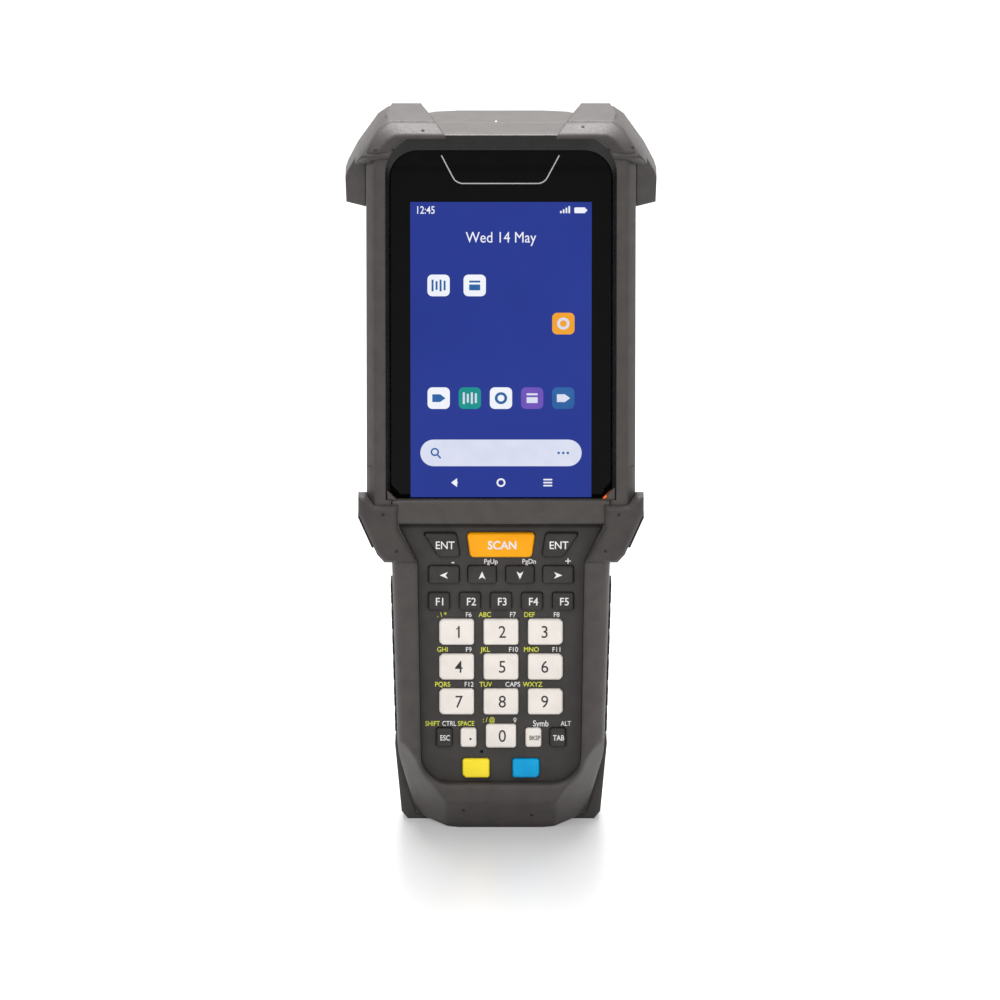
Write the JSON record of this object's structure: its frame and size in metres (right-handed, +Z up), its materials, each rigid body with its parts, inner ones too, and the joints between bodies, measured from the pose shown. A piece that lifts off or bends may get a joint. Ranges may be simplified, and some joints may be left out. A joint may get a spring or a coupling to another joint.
{
  "type": "portable data terminal",
  "caption": "Rugged handheld barcode data terminal with a large display, a backlit numeric keypad, rubber corner guards, side scan triggers and a latched battery in the back of the grip.",
  "frame": {"origin": "centre of the bounding box at the flat foot that the terminal stands on, on the middle plane and midway through the depth", "axes": "+Z up along the length, +X to the viewer's right when facing the display, +Y away from the viewer, through the depth"},
  "size_m": [0.0948, 0.034, 0.2238],
  "materials": {
    "case_plastic": "satin moulded polycarbonate blend, brown grey",
    "rubber_grey": "overmoulded soft rubber, brown grey, fine grain",
    "rubber_black": "soft black rubber",
    "key_orange": "hard coated orange key",
    "cover_glass": "dark printed cover glass",
    "seal_rubber": "soft sealing foam and rubber",
    "module_metal": "plain sheet metal can",
    "light_lens": "clear tinted light guide",
    "panel_plastic": "fine matt moulded plastic",
    "mat_rubber": "silicone mat",
    "dome_steel": "stamped snap domes",
    "board_green": "glass fibre circuit board",
    "fitting_black": "fine matt moulded plastic",
    "contact_gold": "gold plated contact pads",
    "screw_steel": "blackened steel screws",
    "key_white": "hard coated white key",
    "key_yellow": "hard coated yellow key",
    "key_blue": "hard coated blue key",
    "key_black": "hard coated charcoal key"
  },
  "bodies": {
    "case": {"battery_pack": "fitting_black", "bumper_shoulder_left": "rubber_grey", "bumper_shoulder_right": "rubber_grey", "bumper_top_left": "rubber_grey", "bumper_top_right": "rubber_grey", "camera_module": "fitting_black", "case_screws": "screw_steel", "display_gasket": "seal_rubber", "display_glass": "cover_glass", "display_module": "module_metal", "dock_contacts": "contact_gold", "front_shell": "case_plastic", "key_domes": "dome_steel", "keypad_board": "board_green", "keypad_mat": "mat_rubber", "keypad_panel": "panel_plastic", "main_board": "board_green", "middle_strip": "case_plastic", "rear_corner_left": "rubber_grey", "rear_corner_right": "rubber_grey", "rear_shell": "case_plastic", "scan_engine": "fitting_black", "scan_window": "cover_glass", "shell_seal": "seal_rubber", "side_grip_left": "rubber_black", "side_grip_right": "rubber_black", "speaker": "fitting_black", "status_light": "light_lens", "vibration_motor": "module_metal"},
    "key_0_body": {"key_0": "key_white"},
    "key_1_body": {"key_1": "key_white"},
    "key_2_body": {"key_2": "key_white"},
    "key_3_body": {"key_3": "key_white"},
    "key_4_body": {"key_4": "key_white"},
    "key_5_body": {"key_5": "key_white"},
    "key_6_body": {"key_6": "key_white"},
    "key_7_body": {"key_7": "key_white"},
    "key_8_body": {"key_8": "key_white"},
    "key_9_body": {"key_9": "key_white"},
    "key_arrow_down_body": {"key_arrow_down": "key_black"},
    "key_arrow_left_body": {"key_arrow_left": "key_black"},
    "key_arrow_right_body": {"key_arrow_right": "key_black"},
    "key_arrow_up_body": {"key_arrow_up": "key_black"},
    "key_back_body": {"key_back": "key_white"},
    "key_blue_body": {"key_blue": "key_blue"},
    "key_enter_left_body": {"key_enter_left": "key_black"},
    "key_enter_right_body": {"key_enter_right": "key_black"},
    "key_escape_body": {"key_escape": "key_black"},
    "key_f1_body": {"key_f1": "key_black"},
    "key_f2_body": {"key_f2": "key_black"},
    "key_f3_body": {"key_f3": "key_black"},
    "key_f4_body": {"key_f4": "key_black"},
    "key_f5_body": {"key_f5": "key_black"},
    "key_point_body": {"key_point": "key_white"},
    "key_scan_body": {"key_scan": "key_orange"},
    "key_tab_body": {"key_tab": "key_black"},
    "key_yellow_body": {"key_yellow": "key_yellow"},
    "trigger_left_body": {"trigger_left": "rubber_black"},
    "trigger_right_body": {"trigger_right": "rubber_black"},
    "battery_latch_body": {"battery_latch": "fitting_black"}
  },
  "joints": [
    {"name": "key_0_press", "type": "slide", "parent": "case", "child": "key_0_body", "axis": [0, 1, 0], "range_m": [0, 0.0006], "stiffness_N_per_m": 2500},
    {"name": "key_1_press", "type": "slide", "parent": "case", "child": "key_1_body", "axis": [0, 1, 0], "range_m": [0, 0.0006], "stiffness_N_per_m": 2500},
    {"name": "key_2_press", "type": "slide", "parent": "case", "child": "key_2_body", "axis": [0, 1, 0], "range_m": [0, 0.0006], "stiffness_N_per_m": 2500},
    {"name": "key_3_press", "type": "slide", "parent": "case", "child": "key_3_body", "axis": [0, 1, 0], "range_m": [0, 0.0006], "stiffness_N_per_m": 2500},
    {"name": "key_4_press", "type": "slide", "parent": "case", "child": "key_4_body", "axis": [0, 1, 0], "range_m": [0, 0.0006], "stiffness_N_per_m": 2500},
    {"name": "key_5_press", "type": "slide", "parent": "case", "child": "key_5_body", "axis": [0, 1, 0], "range_m": [0, 0.0006], "stiffness_N_per_m": 2500},
    {"name": "key_6_press", "type": "slide", "parent": "case", "child": "key_6_body", "axis": [0, 1, 0], "range_m": [0, 0.0006], "stiffness_N_per_m": 2500},
    {"name": "key_7_press", "type": "slide", "parent": "case", "child": "key_7_body", "axis": [0, 1, 0], "range_m": [0, 0.0006], "stiffness_N_per_m": 2500},
    {"name": "key_8_press", "type": "slide", "parent": "case", "child": "key_8_body", "axis": [0, 1, 0], "range_m": [0, 0.0006], "stiffness_N_per_m": 2500},
    {"name": "key_9_press", "type": "slide", "parent": "case", "child": "key_9_body", "axis": [0, 1, 0], "range_m": [0, 0.0006], "stiffness_N_per_m": 2500},
    {"name": "key_arrow_down_press", "type": "slide", "parent": "case", "child": "key_arrow_down_body", "axis": [0, 1, 0], "range_m": [0, 0.0006], "stiffness_N_per_m": 2500},
    {"name": "key_arrow_left_press", "type": "slide", "parent": "case", "child": "key_arrow_left_body", "axis": [0, 1, 0], "range_m": [0, 0.0006], "stiffness_N_per_m": 2500},
    {"name": "key_arrow_right_press", "type": "slide", "parent": "case", "child": "key_arrow_right_body", "axis": [0, 1, 0], "range_m": [0, 0.0006], "stiffness_N_per_m": 2500},
    {"name": "key_arrow_up_press", "type": "slide", "parent": "case", "child": "key_arrow_up_body", "axis": [0, 1, 0], "range_m": [0, 0.0006], "stiffness_N_per_m": 2500},
    {"name": "key_back_press", "type": "slide", "parent": "case", "child": "key_back_body", "axis": [0, 1, 0], "range_m": [0, 0.0006], "stiffness_N_per_m": 2500},
    {"name": "key_blue_press", "type": "slide", "parent": "case", "child": "key_blue_body", "axis": [0, 1, 0], "range_m": [0, 0.0006], "stiffness_N_per_m": 2500},
    {"name": "key_enter_left_press", "type": "slide", "parent": "case", "child": "key_enter_left_body", "axis": [0, 1, 0], "range_m": [0, 0.0006], "stiffness_N_per_m": 2500},
    {"name": "key_enter_right_press", "type": "slide", "parent": "case", "child": "key_enter_right_body", "axis": [0, 1, 0], "range_m": [0, 0.0006], "stiffness_N_per_m": 2500},
    {"name": "key_escape_press", "type": "slide", "parent": "case", "child": "key_escape_body", "axis": [0, 1, 0], "range_m": [0, 0.0006], "stiffness_N_per_m": 2500},
    {"name": "key_f1_press", "type": "slide", "parent": "case", "child": "key_f1_body", "axis": [0, 1, 0], "range_m": [0, 0.0006], "stiffness_N_per_m": 2500},
    {"name": "key_f2_press", "type": "slide", "parent": "case", "child": "key_f2_body", "axis": [0, 1, 0], "range_m": [0, 0.0006], "stiffness_N_per_m": 2500},
    {"name": "key_f3_press", "type": "slide", "parent": "case", "child": "key_f3_body", "axis": [0, 1, 0], "range_m": [0, 0.0006], "stiffness_N_per_m": 2500},
    {"name": "key_f4_press", "type": "slide", "parent": "case", "child": "key_f4_body", "axis": [0, 1, 0], "range_m": [0, 0.0006], "stiffness_N_per_m": 2500},
    {"name": "key_f5_press", "type": "slide", "parent": "case", "child": "key_f5_body", "axis": [0, 1, 0], "range_m": [0, 0.0006], "stiffness_N_per_m": 2500},
    {"name": "key_point_press", "type": "slide", "parent": "case", "child": "key_point_body", "axis": [0, 1, 0], "range_m": [0, 0.0006], "stiffness_N_per_m": 2500},
    {"name": "key_scan_press", "type": "slide", "parent": "case", "child": "key_scan_body", "axis": [0, 1, 0], "range_m": [0, 0.0006], "stiffness_N_per_m": 2500},
    {"name": "key_tab_press", "type": "slide", "parent": "case", "child": "key_tab_body", "axis": [0, 1, 0], "range_m": [0, 0.0006], "stiffness_N_per_m": 2500},
    {"name": "key_yellow_press", "type": "slide", "parent": "case", "child": "key_yellow_body", "axis": [0, 1, 0], "range_m": [0, 0.0006], "stiffness_N_per_m": 2500},
    {"name": "trigger_left_press", "type": "slide", "parent": "case", "child": "trigger_left_body", "axis": [0.9157, 0, 0.4019], "range_m": [0, 0.0006], "stiffness_N_per_m": 3000},
    {"name": "trigger_right_press", "type": "slide", "parent": "case", "child": "trigger_right_body", "axis": [-0.9157, 0, 0.4019], "range_m": [0, 0.0006], "stiffness_N_per_m": 3000},
    {"name": "battery_latch_slide", "type": "slide", "parent": "case", "child": "battery_latch_body", "axis": [0, 0, 1], "range_m": [0, 0.0025], "stiffness_N_per_m": 600}
  ]
}
